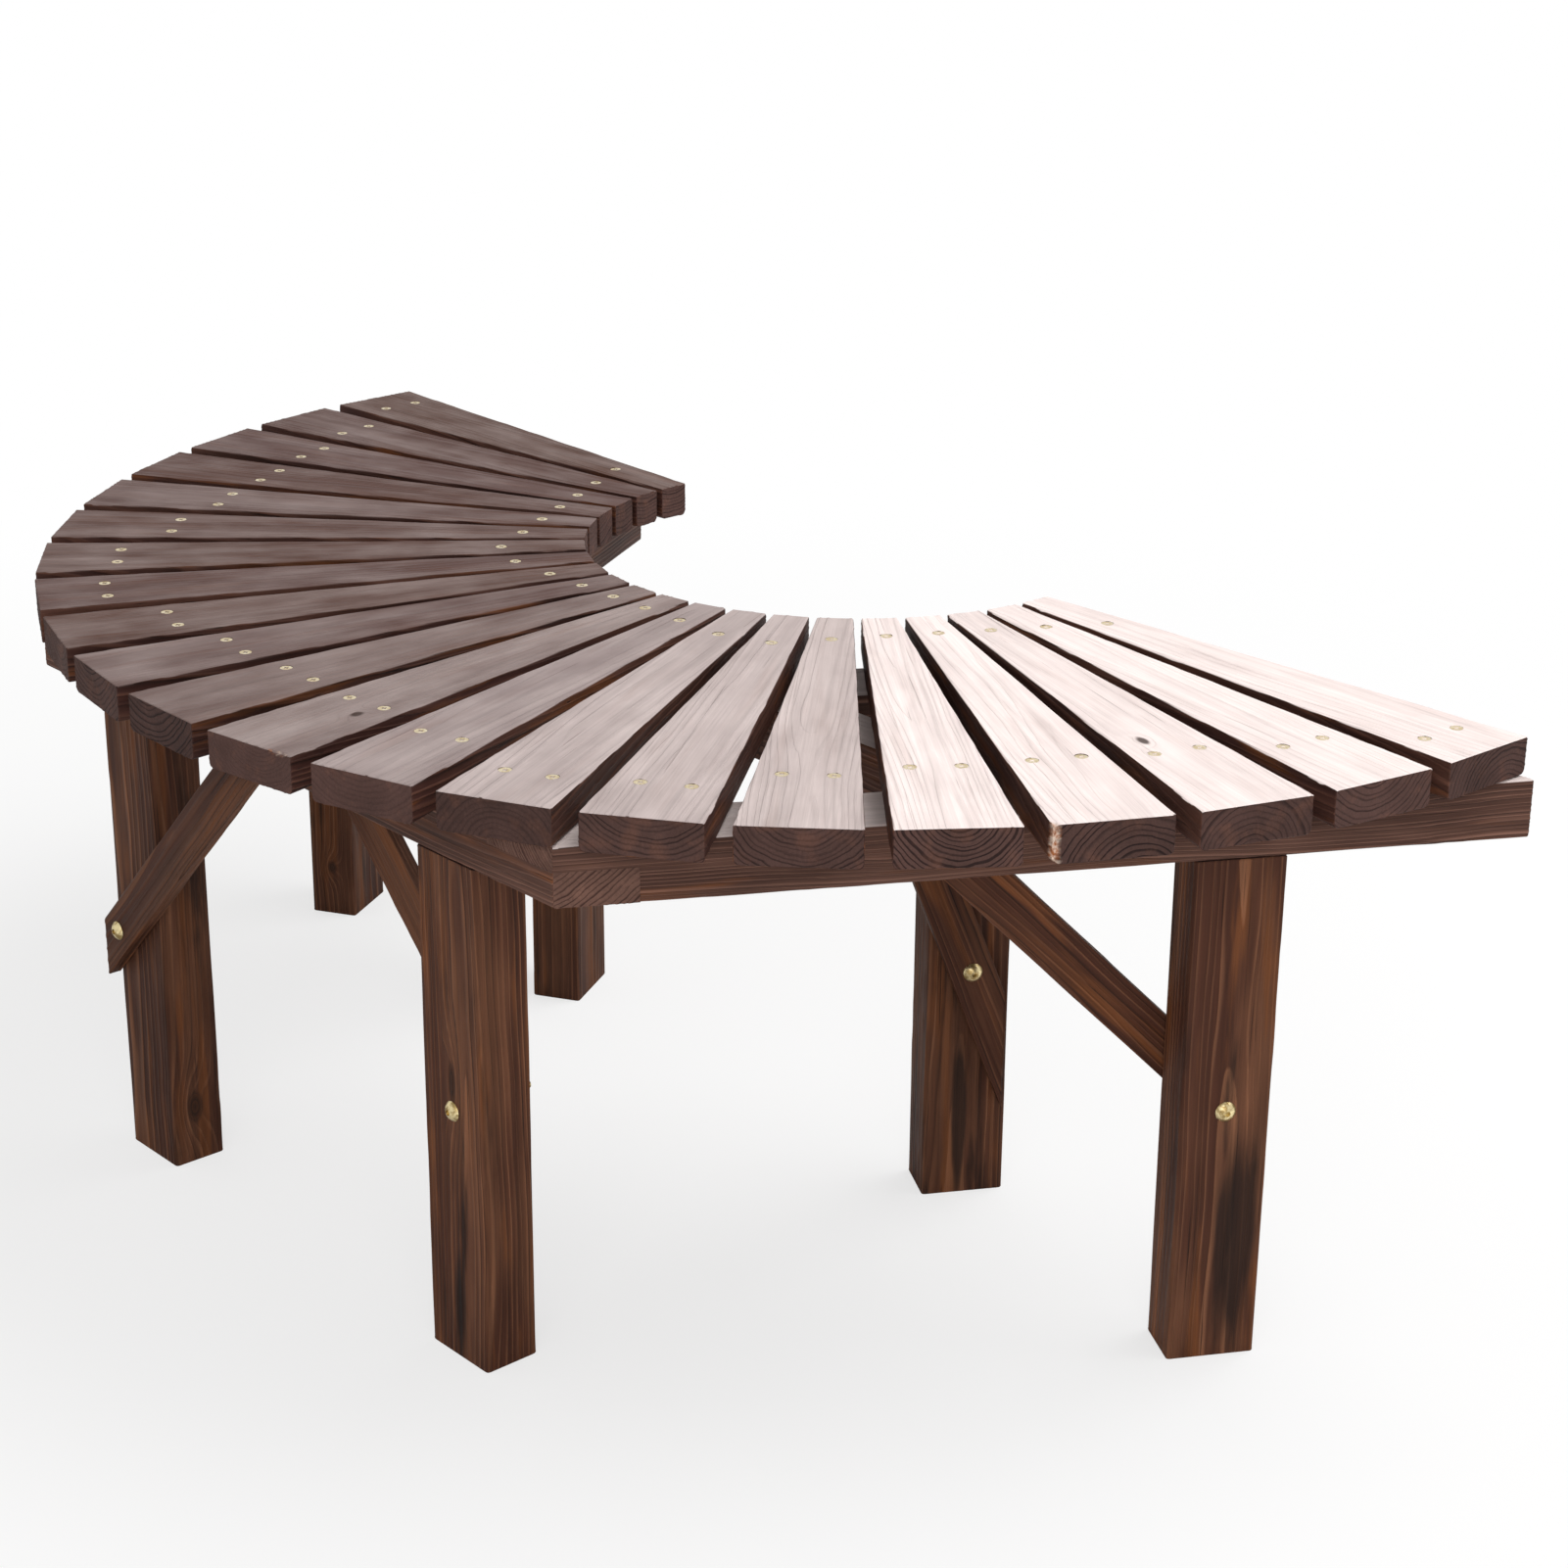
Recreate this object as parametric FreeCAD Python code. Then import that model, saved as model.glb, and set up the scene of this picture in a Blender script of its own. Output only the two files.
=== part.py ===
# Half-round tree bench: 21 tapered slats on a frame of straight rails, six legs and six braces.
# All sizes are in millimetres and degrees. The ground is Z = 0 and the open side, where the
# tree stands, faces +Y. Pieces are first drawn as if they stood in the middle third of the
# bench, with X along the third and "reach" measured from the tree's centre towards -Y.
# They are then turned about the tree's centre to the third they belong to.
import FreeCAD, Part
import math
import os

V = FreeCAD.Vector

# Seat
seat_height = 450.0
outer_radius = 644.0          # tree's centre to the outer ends of the slats
inner_radius = 214.0          # tree's centre to the inner ends of the slats
slat_count = 21
slat_pitch = 8.84             # degrees from one slat to the next
slat_thickness = 28.0
slat_outer_width = 83.0
slat_inner_width = 28.0
slat_top_edge_radius = 1.5
slat_bottom_edge_radius = 4.5

# Frame
third_angle = 60.0            # each third of the frame turns by this much
rail_width = 60.0
rail_height = 43.0
rail_corner_setback = 2.0     # outer rails' corners lie this far inside the slats' outer ends
tongue_width = 49.0           # of the middle rail's tongues, from its front face
tongue_height = 25.0
side_slat_overhang = 28.0     # slats' inner ends reach this far past an inner side rail
middle_slat_overhang = 18.0   # and this far past the cross rail
cross_rail_width = 43.0
cross_rail_height = 43.0
rail_end_setback = 2.0        # rail ends stop this far short of the end slats' back edges
rail_edge_radius = 2.5

# Legs
leg_width = 65.0
leg_depth = 44.0              # a leg and its brace together fit under the rail
leg_edge_radius = 2.5
middle_leg_place = 204.0      # along the middle third, from its centre
end_leg_place = 141.0         # along an end third, towards the open side
inner_leg_place = 31.5

# Braces
brace_width = 35.0
brace_thickness = 12.0
brace_edge_radius = 1.5
brace_angle = 45.0            # degrees above level
inner_brace_angle = 69.0      # degrees: the inner braces are steep, to clear the cross rail
brace_tail = 14.0             # length left below the bolt, measured level
inner_brace_tail = 26.0
lapped_brace_drop = 2.0       # the brace on the rail's front face stops short of the slats
lapped_bolt_offset = 12.5     # and its bolt lies outside the middle of its leg

# Bolts with washers and nuts
bolt_height = 192.0
bolt_radius = 3.0
bolt_hole_clearance = 0.3
bolt_head_radius = 7.5
bolt_head_height = 4.0
bolt_socket_width = 4.0
bolt_socket_depth = 2.5
bolt_end_spare = 3.0
washer_radius = 6.5
washer_thickness = 1.6
nut_width = 10.0
nut_height = 5.0

# Screws: head radius, shank radius and length
slat_screw = (4.5, 2.2, 45.0)
leg_screw = (5.0, 2.5, 95.0)
corner_screw = (4.0, 2.0, 38.0)
crossing_screw = (4.0, 2.0, 38.0)
cross_rail_screw = (5.0, 2.5, 125.0)
brace_screw = (4.0, 2.0, 40.0)
screw_sink = 0.5              # heads lie this far below the wood
screw_tip_length = 5.0
screw_tip_radius = 0.4
screw_pocket = 2.0            # a screw's hole runs on this far above its head
long_screw_pocket = 8.0       # where a head lies below a rounded rail edge
skew_screw_pocket = 12.0      # where a screw goes in at a slant
recess_width = 1.2            # of the cross recess in the heads
recess_depth = 1.6

# Places of the screws
slat_screw_spread = 34.0      # between the two screws at a slat's outer end
slat_screw_rail_inset = 26.0  # from the outer rail's front face
inner_screw_rail_inset = 14.0 # from the tree-side face of an inner side rail or the cross rail
leg_screw_spread = 32.0
leg_screw_inset = 12.0        # from the leg's outward face
corner_screw_spread = 28.0
crossing_screw_spread = 20.0
crossing_screw_inset = 12.0   # from the front faces of both rails
cross_rail_screw_spread = 14.0
cross_rail_screw_lift = 17.0  # above the outer rail's underside, between slat and brace screws
brace_screw_drop = 14.0       # below the rail
brace_screw_angle = 60.0      # degrees above level
lapped_brace_screw_lift = 14.0  # above the rail's underside

# Levels and reaches that follow from the sizes above. An outer rail's reach is measured from
# the tree's centre to its front face, and any other rail's to its tree-side face.
rail_top = seat_height - slat_thickness
rail_bottom = rail_top - rail_height
lap_level = rail_top - rail_height / 2
tongue_level = rail_bottom + tongue_height
outer_rail_reach = (outer_radius - rail_corner_setback) * math.cos(math.radians(third_angle / 2))
outer_rail_back = outer_rail_reach - rail_width
tongue_back = outer_rail_reach - tongue_width
inner_rail_reach = inner_radius + side_slat_overhang
inner_rail_front = inner_rail_reach + rail_width
cross_rail_reach = inner_radius + middle_slat_overhang
cross_rail_front = cross_rail_reach + cross_rail_width
outer_leg_back = outer_rail_reach - leg_depth
middle_slat = (slat_count + 1) // 2
end_slat_turn = math.radians((slat_count - middle_slat) * slat_pitch)
slat_back = slat_outer_width / 2 * math.sin(end_slat_turn) - outer_radius * math.cos(end_slat_turn)
rail_end = slat_back - rail_end_setback
far = 3 * outer_radius

# The part's origin lies under the middle of its bounding box
origin_shift = V(0, (outer_radius - slat_back) / 2, 0)

third_turn = {"left": -third_angle, "middle": 0.0, "right": third_angle}

wood = {}       # node name: solid, still without its screw and bolt holes
holes = {}      # node name: list of solids to cut out of it
metal = {}      # node name: list of separate solids


def turned(shape, angle):
    """A copy of the shape turned about the tree's centre."""
    copy = shape.copy()
    copy.rotate(V(0, 0, 0), V(0, 0, 1), angle)
    return copy


def block(x0, x1, reach0, reach1, z0, z1):
    """A straight block between two places along a third, two reaches and two levels."""
    return Part.makeBox(x1 - x0, reach1 - reach0, z1 - z0, V(x0, -reach1, z0))


def beyond(reach, side, z0=-far, z1=far):
    """All that lies further out than a reach, in the third on the given side."""
    return turned(block(-far, far, reach, 2 * far, z0, z1), third_turn[side])


def behind(y):
    """All that lies on the tree's side of a line across the bench."""
    return Part.makeBox(2 * far, far, 2 * far, V(-far, y, -far))


def eased(shape, radius, direction):
    """Round the long edges that run in a direction."""
    edges = []
    for edge in shape.Edges:
        if isinstance(edge.Curve, Part.Line):
            along = edge.tangentAt(edge.FirstParameter)
            if abs(abs(along.dot(direction)) - 1) < 1e-4 and edge.Length > 4 * radius:
                edges.append(edge)
    return shape.makeFillet(radius, edges)


def place(x, reach, z, side):
    """The point at a place along a third, a reach and a level."""
    point = V(x, -reach, z)
    return FreeCAD.Rotation(V(0, 0, 1), third_turn[side]).multVec(point)


# Slats

def slat_turn(number):
    """Slat 1 is the right-hand end slat as seen from the front."""
    return (middle_slat - number) * slat_pitch


def slat_side(number):
    """The third of the frame that carries a slat."""
    in_a_third = slat_count / 3
    return ["right", "middle", "left"][int((number - 1) // in_a_third)]


def make_slat(number):
    outer, inner = slat_outer_width / 2, slat_inner_width / 2
    outline = [V(-inner, -inner_radius, rail_top), V(-outer, -outer_radius, rail_top),
               V(outer, -outer_radius, rail_top), V(inner, -inner_radius, rail_top)]
    plan = Part.Face(Part.makePolygon(outline + outline[:1]))
    slat = plan.extrude(V(0, 0, slat_thickness))
    for level, radius in ((seat_height, slat_top_edge_radius), (rail_top, slat_bottom_edge_radius)):
        long_edges = [e for e in slat.Edges if e.Length > slat_thickness + slat_outer_width
                      and abs(e.CenterOfMass.z - level) < 0.001]
        slat = slat.makeFillet(radius, long_edges)
    return turned(slat, slat_turn(number))


for number in range(1, slat_count + 1):
    wood["slat_%02d" % number] = make_slat(number)


# Rails. Where two outer rails meet, a tongue of the middle rail runs through to the side rail's
# front face, low down, and the rest of the side rail lies over and behind it.

def make_outer_middle_rail():
    rail = eased(block(-far, far, outer_rail_back, outer_rail_reach, rail_bottom, rail_top),
                 rail_edge_radius, V(1, 0, 0))
    for side in ("left", "right"):
        rail = rail.cut(beyond(outer_rail_reach, side))
        rail = rail.cut(beyond(outer_rail_back, side, tongue_level))
        rail = rail.cut(beyond(outer_rail_back, side).cut(beyond(tongue_back, "middle")))
    return rail


def make_outer_side_rail(side):
    rail = eased(block(-far, far, outer_rail_back, outer_rail_reach, rail_bottom, rail_top),
                 rail_edge_radius, V(1, 0, 0))
    rail = turned(rail, third_turn[side])
    rail = rail.cut(beyond(outer_rail_reach, "middle"))
    rail = rail.cut(beyond(tongue_back, "middle", z1=tongue_level))
    return rail.cut(behind(rail_end))


def make_inner_side_rail(side):
    rail = eased(block(-far, far, inner_rail_reach, inner_rail_front, rail_bottom, rail_top),
                 rail_edge_radius, V(1, 0, 0))
    rail = turned(rail, third_turn[side])
    rail = rail.cut(beyond(cross_rail_front, "middle"))
    rail = rail.cut(beyond(cross_rail_reach, "middle", z1=lap_level))
    return rail.cut(behind(rail_end))


def make_cross_rail():
    """One long square rail. It carries the middle slats' inner ends, passes under the upper
    halves of the inner side rails, and ends against the outer side rails."""
    rail = block(-far, far, cross_rail_reach, cross_rail_front,
                 rail_top - cross_rail_height, rail_top)
    for side in ("left", "right"):
        rail = rail.cut(beyond(outer_rail_back, side))
        housing = beyond(inner_rail_reach, side, lap_level).cut(beyond(inner_rail_front, side))
        rail = rail.cut(housing)
    return rail


wood["rail_outer_middle"] = make_outer_middle_rail()
for side in ("left", "right"):
    wood["rail_outer_" + side] = make_outer_side_rail(side)
    wood["rail_inner_" + side] = make_inner_side_rail(side)
wood["cross_rail"] = make_cross_rail()


# Legs: name, third, place along it, tree-side reach, and the rail it stands under

legs = [
    ("outer_middle_right", "middle", middle_leg_place, outer_leg_back, "rail_outer_middle"),
    ("outer_middle_left", "middle", -middle_leg_place, outer_leg_back, "rail_outer_middle"),
    ("outer_end_right", "right", end_leg_place, outer_leg_back, "rail_outer_right"),
    ("outer_end_left", "left", -end_leg_place, outer_leg_back, "rail_outer_left"),
    ("inner_right", "right", inner_leg_place, inner_rail_reach, "rail_inner_right"),
    ("inner_left", "left", -inner_leg_place, inner_rail_reach, "rail_inner_left"),
]


def make_leg(side, x, back):
    leg = block(x - leg_width / 2, x + leg_width / 2, back, back + leg_depth, 0, rail_bottom)
    return turned(eased(leg, leg_edge_radius, V(0, 0, 1)), third_turn[side])


# Braces. Each one leans from its leg towards the middle of its third.

def brace_outline(x, lean, rise, tail, top):
    """Corners in the plane of place and level: a plumb cut below, a level cut on top."""
    slope = math.tan(math.radians(rise))
    half = brace_width / 2 / math.sin(math.radians(rise))
    foot = x - lean * tail
    corners = []
    for edge in (half, -half):
        at_foot = bolt_height + lean * (foot - x - edge) * slope
        at_top = x + edge + lean * (top - bolt_height) / slope
        corners.append([(foot, at_foot), (at_top, top)])
    return corners[0] + corners[1][::-1]


def make_brace(side, x, back, rise, tail, top):
    lean = -1 if x > 0 else 1
    points = [V(px, -back, pz) for px, pz in brace_outline(x, lean, rise, tail, top)]
    face = Part.Face(Part.makePolygon(points + points[:1]))
    brace = face.extrude(V(0, -brace_thickness, 0))
    along = V(lean * math.cos(math.radians(rise)), 0, math.sin(math.radians(rise)))
    return turned(eased(brace, brace_edge_radius, along), third_turn[side])


# Screws and bolts are drawn pointing down from the origin, then turned and moved into place

def screw_body(head_radius, shank_radius, length):
    head_height = head_radius - shank_radius
    head = Part.makeCone(head_radius, shank_radius, head_height, V(0, 0, 0), V(0, 0, -1))
    shank = Part.makeCylinder(shank_radius, length - head_height - screw_tip_length,
                              V(0, 0, -head_height), V(0, 0, -1))
    tip = Part.makeCone(shank_radius, screw_tip_radius, screw_tip_length,
                        V(0, 0, screw_tip_length - length), V(0, 0, -1))
    return head.fuse([shank, tip]).removeSplitter()


def make_screw(size):
    body = screw_body(*size)
    head_radius = size[0]
    for width, depth in ((head_radius, recess_width), (recess_width, head_radius)):
        body = body.cut(Part.makeBox(width, depth, recess_depth,
                                     V(-width / 2, -depth / 2, -recess_depth)))
    return body


def screw_hole(size, pocket):
    head_radius = size[0]
    return screw_body(*size).fuse(Part.makeCylinder(head_radius, pocket))


def set_down(shape, point, direction):
    """Move a shape drawn along -Z so that it starts at a point and runs in a direction."""
    copy = shape.copy()
    copy.Placement = FreeCAD.Placement(point, FreeCAD.Rotation(V(0, 0, -1), direction))
    return copy


made = {}


def add_screw(node, size, point, direction, through, pocket=screw_pocket):
    """Add one screw to a node, sunk a little, and its hole to the pieces it goes through."""
    if size not in made:
        made[size] = make_screw(size)
    start = point + direction * screw_sink
    metal.setdefault(node, []).append(set_down(made[size], start, direction))
    hole = set_down(screw_hole(size, pocket), start, direction)
    for name in through:
        holes.setdefault(name, []).append(hole)


def hexagon(width, height, base):
    """A hexagonal prism that starts at a level and runs down."""
    corner = width / math.sqrt(3)
    points = [V(corner * math.cos(math.radians(a)), corner * math.sin(math.radians(a)), base)
              for a in range(0, 361, 60)]
    return Part.Face(Part.makePolygon(points)).extrude(V(0, 0, -height))


def make_bolt(grip):
    """A domed head with a socket, above the origin, and its shank below."""
    dome_radius = (bolt_head_radius ** 2 + bolt_head_height ** 2) / (2 * bolt_head_height)
    dome = Part.makeSphere(dome_radius, V(0, 0, bolt_head_height - dome_radius))
    head = dome.common(Part.makeCylinder(bolt_head_radius, bolt_head_height))
    length = grip + washer_thickness + nut_height + bolt_end_spare
    shank = Part.makeCylinder(bolt_radius, length, V(0, 0, 0), V(0, 0, -1))
    socket = hexagon(bolt_socket_width, bolt_socket_depth, bolt_head_height)
    return head.fuse(shank).removeSplitter().cut(socket)


def add_bolt(side, x, head_reach, grip, through):
    """A bolt that goes level towards the tree through a brace and its leg."""
    towards_tree = place(0, -1, 0, side)
    point = place(x, head_reach, bolt_height, side)
    metal.setdefault("brace_bolts", []).append(set_down(make_bolt(grip), point, towards_tree))
    washer = Part.makeCylinder(washer_radius, washer_thickness, V(0, 0, -grip), V(0, 0, -1))
    bore = Part.makeCylinder(bolt_radius, 2 * grip, V(0, 0, 0), V(0, 0, -1))
    nut = hexagon(nut_width, nut_height, -grip - washer_thickness)
    metal.setdefault("brace_washers", []).append(set_down(washer.cut(bore), point, towards_tree))
    metal.setdefault("brace_nuts", []).append(set_down(nut.cut(bore), point, towards_tree))
    hole = Part.makeCylinder(bolt_radius + bolt_hole_clearance, grip, V(0, 0, 0), V(0, 0, -1))
    for name in through:
        holes.setdefault(name, []).append(set_down(hole, point, towards_tree))


down = V(0, 0, -1)
lapped_on_the_front = "outer_middle_left"   # this one brace stands on the front of its leg

for name, side, x, back, rail in legs:
    leg, brace = "leg_" + name, "brace_" + name
    front = back + leg_depth
    lean = -1 if x > 0 else 1
    inner = name.startswith("inner")
    wood[leg] = make_leg(side, x, back)

    # The brace lies on the face of the leg that looks under the seat. The one on the front of its
    # leg ends flush with the leg's side.
    rise = inner_brace_angle if inner else brace_angle
    tail = inner_brace_tail if inner else brace_tail
    bolt_x = x
    if name == lapped_on_the_front:
        brace_back, head_reach, top = front, front + brace_thickness, rail_top - lapped_brace_drop
        bolt_x = x - lean * lapped_bolt_offset
        tail = leg_width / 2 - lapped_bolt_offset
    elif inner:
        brace_back, head_reach, top = front, front + brace_thickness, rail_bottom
    else:
        brace_back, head_reach, top = back - brace_thickness, front, rail_bottom
    wood[brace] = make_brace(side, bolt_x, brace_back, rise, tail, top)
    add_bolt(side, bolt_x, head_reach, leg_depth + brace_thickness, (leg, brace))

    # The brace's top end: a level screw where it laps the rail, else a skew screw upwards
    slope = math.tan(math.radians(rise))
    if name == lapped_on_the_front:
        level = rail_bottom + lapped_brace_screw_lift
        point = place(bolt_x + lean * (level - bolt_height) / slope, head_reach, level, side)
        add_screw("brace_screws", brace_screw, point, place(0, -1, 0, side), (brace, rail))
    else:
        level = rail_bottom - brace_screw_drop
        free_face = brace_back + brace_thickness if inner else brace_back
        point = place(bolt_x + lean * (level - bolt_height) / slope, free_face, level, side)
        tilt = math.radians(brace_screw_angle)
        into = place(0, -math.cos(tilt) if inner else math.cos(tilt), math.sin(tilt), side)
        add_screw("brace_screws", brace_screw, point, into, (brace, rail), pocket=skew_screw_pocket)

    # Two long screws go down through the rail into the top of the leg
    for offset in (-leg_screw_spread / 2, leg_screw_spread / 2):
        point = place(x + offset, front - leg_screw_inset, rail_top, side)
        add_screw("leg_screws", leg_screw, point, down, (rail, leg))


# Slat screws: two over the outer rail and one over the inner rail

outer_rails = ["rail_outer_middle", "rail_outer_left", "rail_outer_right"]
inner_rails = ["cross_rail", "rail_inner_left", "rail_inner_right"]

for number in range(1, slat_count + 1):
    side = slat_side(number)
    turn = slat_turn(number)
    slat = "slat_%02d" % number
    skew = math.cos(math.radians(turn - third_turn[side]))
    outer_reach = (outer_rail_reach - slat_screw_rail_inset) / skew
    if side == "middle":
        inner_reach = (cross_rail_reach + inner_screw_rail_inset) / skew
    else:
        inner_reach = (inner_rail_reach + inner_screw_rail_inset) / skew
    spin = FreeCAD.Rotation(V(0, 0, 1), turn)
    for offset in (-slat_screw_spread / 2, slat_screw_spread / 2):
        point = spin.multVec(V(offset, -outer_reach, seat_height))
        add_screw("slat_screws_outer", slat_screw, point, down, [slat] + outer_rails)
    point = spin.multVec(V(0, -inner_reach, seat_height))
    add_screw("slat_screws_inner", slat_screw, point, down, [slat] + inner_rails)


# Screws that hold the lapped corners and the ends of the cross rail

for side, sign in (("left", -1), ("right", 1)):
    bisector = FreeCAD.Rotation(V(0, 0, 1), third_turn[side] / 2)
    corner = (outer_rail_reach - rail_width / 2) / math.cos(math.radians(third_angle / 2))
    for offset in (-corner_screw_spread / 2, corner_screw_spread / 2):
        point = bisector.multVec(V(0, -corner - offset, rail_top))
        add_screw("corner_screws", corner_screw, point, down,
                  ("rail_outer_middle", "rail_outer_" + side))

    # Where the cross rail passes under the inner side rail, clear of the slat screws
    cosine, sine = math.cos(math.radians(third_angle)), math.sin(math.radians(third_angle))
    screw_reach = cross_rail_front - crossing_screw_inset
    for offset in (0, crossing_screw_spread):
        side_reach = inner_rail_front - crossing_screw_inset - offset
        crossing = (side_reach - cosine * screw_reach) / sine
        add_screw("crossing_screws", crossing_screw, V(sign * crossing, -screw_reach, rail_top), down,
                  ("cross_rail", "rail_inner_" + side))

    # Side by side through the outer side rail's front face, along the cross rail
    level = rail_bottom + cross_rail_screw_lift
    for offset in (-cross_rail_screw_spread / 2, cross_rail_screw_spread / 2):
        screw_reach = cross_rail_reach + cross_rail_width / 2 + offset
        start = (outer_rail_reach - cosine * screw_reach) / sine
        add_screw("cross_rail_screws", cross_rail_screw, V(sign * start, -screw_reach, level),
                  V(-sign, 0, 0), ("cross_rail", "rail_outer_" + side), pocket=long_screw_pocket)


# Cut the holes, move everything to the part's own origin and write one file per node

def near(a, b):
    return a.BoundBox.intersect(b.BoundBox)


os.makedirs("parts", exist_ok=True)
for name, solid in wood.items():
    cutters = [hole for hole in holes.get(name, []) if near(hole, solid)]
    if cutters:
        solid = solid.cut(cutters)
    assert len(solid.Solids) == 1 and solid.isValid(), name
    solid = solid.Solids[0]
    solid.translate(origin_shift)
    solid.exportStep("parts/%s.step" % name)
for name, solids in metal.items():
    group = Part.makeCompound([s.Solids[0] for s in solids])
    group.translate(origin_shift)
    group.exportStep("parts/%s.step" % name)
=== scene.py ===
# The looks of a half-round tree bench: weathered, dark stained softwood boards and zinc fixings.
# Sizes are in metres and angles in degrees. The tree stands on the +Y side.
import bmesh
import bpy
import math
from mathutils import Matrix, Vector


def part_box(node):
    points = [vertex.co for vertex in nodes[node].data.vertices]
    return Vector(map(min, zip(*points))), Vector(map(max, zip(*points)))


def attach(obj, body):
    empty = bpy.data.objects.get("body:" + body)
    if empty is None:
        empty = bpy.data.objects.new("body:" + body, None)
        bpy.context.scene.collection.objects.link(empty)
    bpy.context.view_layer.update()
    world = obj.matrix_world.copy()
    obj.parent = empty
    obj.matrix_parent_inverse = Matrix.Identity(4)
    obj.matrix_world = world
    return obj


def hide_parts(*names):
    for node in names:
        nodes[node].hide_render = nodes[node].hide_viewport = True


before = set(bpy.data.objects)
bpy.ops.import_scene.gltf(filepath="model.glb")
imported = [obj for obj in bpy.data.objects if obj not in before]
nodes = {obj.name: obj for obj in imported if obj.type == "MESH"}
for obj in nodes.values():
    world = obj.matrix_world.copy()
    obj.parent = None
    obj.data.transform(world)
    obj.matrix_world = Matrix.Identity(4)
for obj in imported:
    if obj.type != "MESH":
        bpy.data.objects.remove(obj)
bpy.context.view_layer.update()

# The bench's plan, as it was built
outer_radius = 0.644
slat_count = 21
slat_pitch = 8.84
third_turn = {"left": -60.0, "middle": 0.0, "right": 60.0}
brace_angle = 45.0
inner_brace_angle = 69.0
slat_top_radius = 0.0015
slat_bottom_radius = 0.0045
rail_edge_radius = 0.0025
cross_rail_edge_radius = 0.0008
leg_edge_radius = 0.0025
brace_edge_radius = 0.0015
tongue_width = 0.049
tongue_height = 0.025
pocket_radius = 0.0048        # shallow pockets round the slats' screw heads
pocket_depth = 0.0002
seat_centre = Vector((0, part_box("slat_11")[0].y + outer_radius, 0))

# How finely a board's surface is divided
point_spacing = 0.00135       # across the grain
station_spacing = 0.009       # along it
end_stations = 16             # added at the two ends
end_crowding = 0.88           # how closely the stations lie there
least_across = 12             # points across and through a thin board
least_through = 10
same_edge = 0.0003            # points within this lie on one edge
sharp_angle = 38.0

# Camera, matched to the photograph, which is taken as 1601 pixels wide
photo_width = 1601
focal_pixels = 3157.6
sensor_width = 36.0
camera_place = seat_centre + Vector((1.7628, -1.6615, 1.1498))
camera_heading = -47.90
camera_dip = 20.681
camera_roll = 0.534

nowhere = Vector((9.0, 9.0, 9.0))   # a place that no board reaches
small_knot = Vector((0.014, 0.008, 0.008))
small_chip = Vector((0.012, 0.008, 0.008))


def sockets(items):
    """The sockets of a node that are in use, by name."""
    return {socket.name: socket for socket in items if socket.enabled}


class Tree:
    """Adds nodes to a node tree and joins them. A value is a number, a tuple or another socket."""

    def __init__(self, tree):
        self.tree = tree

    def add(self, kind, **settings):
        node = self.tree.nodes.new(kind)
        for name, value in settings.items():
            setattr(node, name, value)
        return node

    def put(self, socket, value):
        if isinstance(value, bpy.types.NodeSocket):
            self.tree.links.new(value, socket)
        elif value is not None:
            socket.default_value = value

    def math(self, operation, a, b=None, clamp=False):
        node = self.add("ShaderNodeMath", operation=operation, use_clamp=clamp)
        for socket, value in zip(node.inputs, (a, b)):
            self.put(socket, value)
        return node.outputs[0]

    def vector(self, operation, a, b=None, scale=None):
        node = self.add("ShaderNodeVectorMath", operation=operation)
        self.put(node.inputs[0], a)
        self.put(node.inputs[1], b)
        if scale is not None:
            self.put(node.inputs["Scale"], scale)
        return node.outputs["Value" if operation == "LENGTH" else "Vector"]

    def split(self, value):
        node = self.add("ShaderNodeSeparateXYZ")
        self.put(node.inputs[0], value)
        return node.outputs[0], node.outputs[1], node.outputs[2]

    def join(self, x, y, z):
        node = self.add("ShaderNodeCombineXYZ")
        for socket, value in zip(node.inputs, (x, y, z)):
            self.put(socket, value)
        return node.outputs[0]

    def step(self, value, low, high, to_low=0.0, to_high=1.0):
        """A smooth step from one value to another, held flat outside the two limits."""
        node = self.add("ShaderNodeMapRange", interpolation_type="SMOOTHSTEP")
        for socket, item in zip(node.inputs, (value, low, high, to_low, to_high)):
            self.put(socket, item)
        return node.outputs[0]

    def between(self, a, b, factor):
        """The value that lies between two others by a factor."""
        return self.math("ADD", a, self.math("MULTIPLY", self.math("SUBTRACT", b, a), factor))

    def rest(self, share):
        """What a share leaves of 1."""
        return self.math("SUBTRACT", 1.0, share)

    def swing(self, value, amount):
        """A value around a half, made to swing about nought."""
        return self.math("MULTIPLY", self.math("SUBTRACT", value, 0.5), amount)

    def noise(self, place, detail=2.0, roughness=0.5, colour=False):
        """Noise from 0 to 1 whose grains are about 1 unit apart in the given place."""
        node = self.add("ShaderNodeTexNoise", noise_dimensions="3D")
        self.put(node.inputs["Vector"], place)
        node.inputs["Scale"].default_value = 1.0
        node.inputs["Detail"].default_value = detail
        node.inputs["Roughness"].default_value = roughness
        return node.outputs[1 if colour else 0]

    def cloud(self, place, rate, shift, detail=2.0, roughness=0.5):
        """Noise with its own number of grains to a metre each way, shifted from board to board."""
        return self.noise(self.vector("ADD", self.vector("MULTIPLY", place, rate), shift), detail, roughness)

    def mix_colour(self, factor, a, b, blend="MIX"):
        node = self.add("ShaderNodeMix", data_type="RGBA", blend_type=blend)
        self.put(node.inputs[0], factor)
        self.put(node.inputs[6], a)
        self.put(node.inputs[7], b)
        return node.outputs[2]


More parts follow.
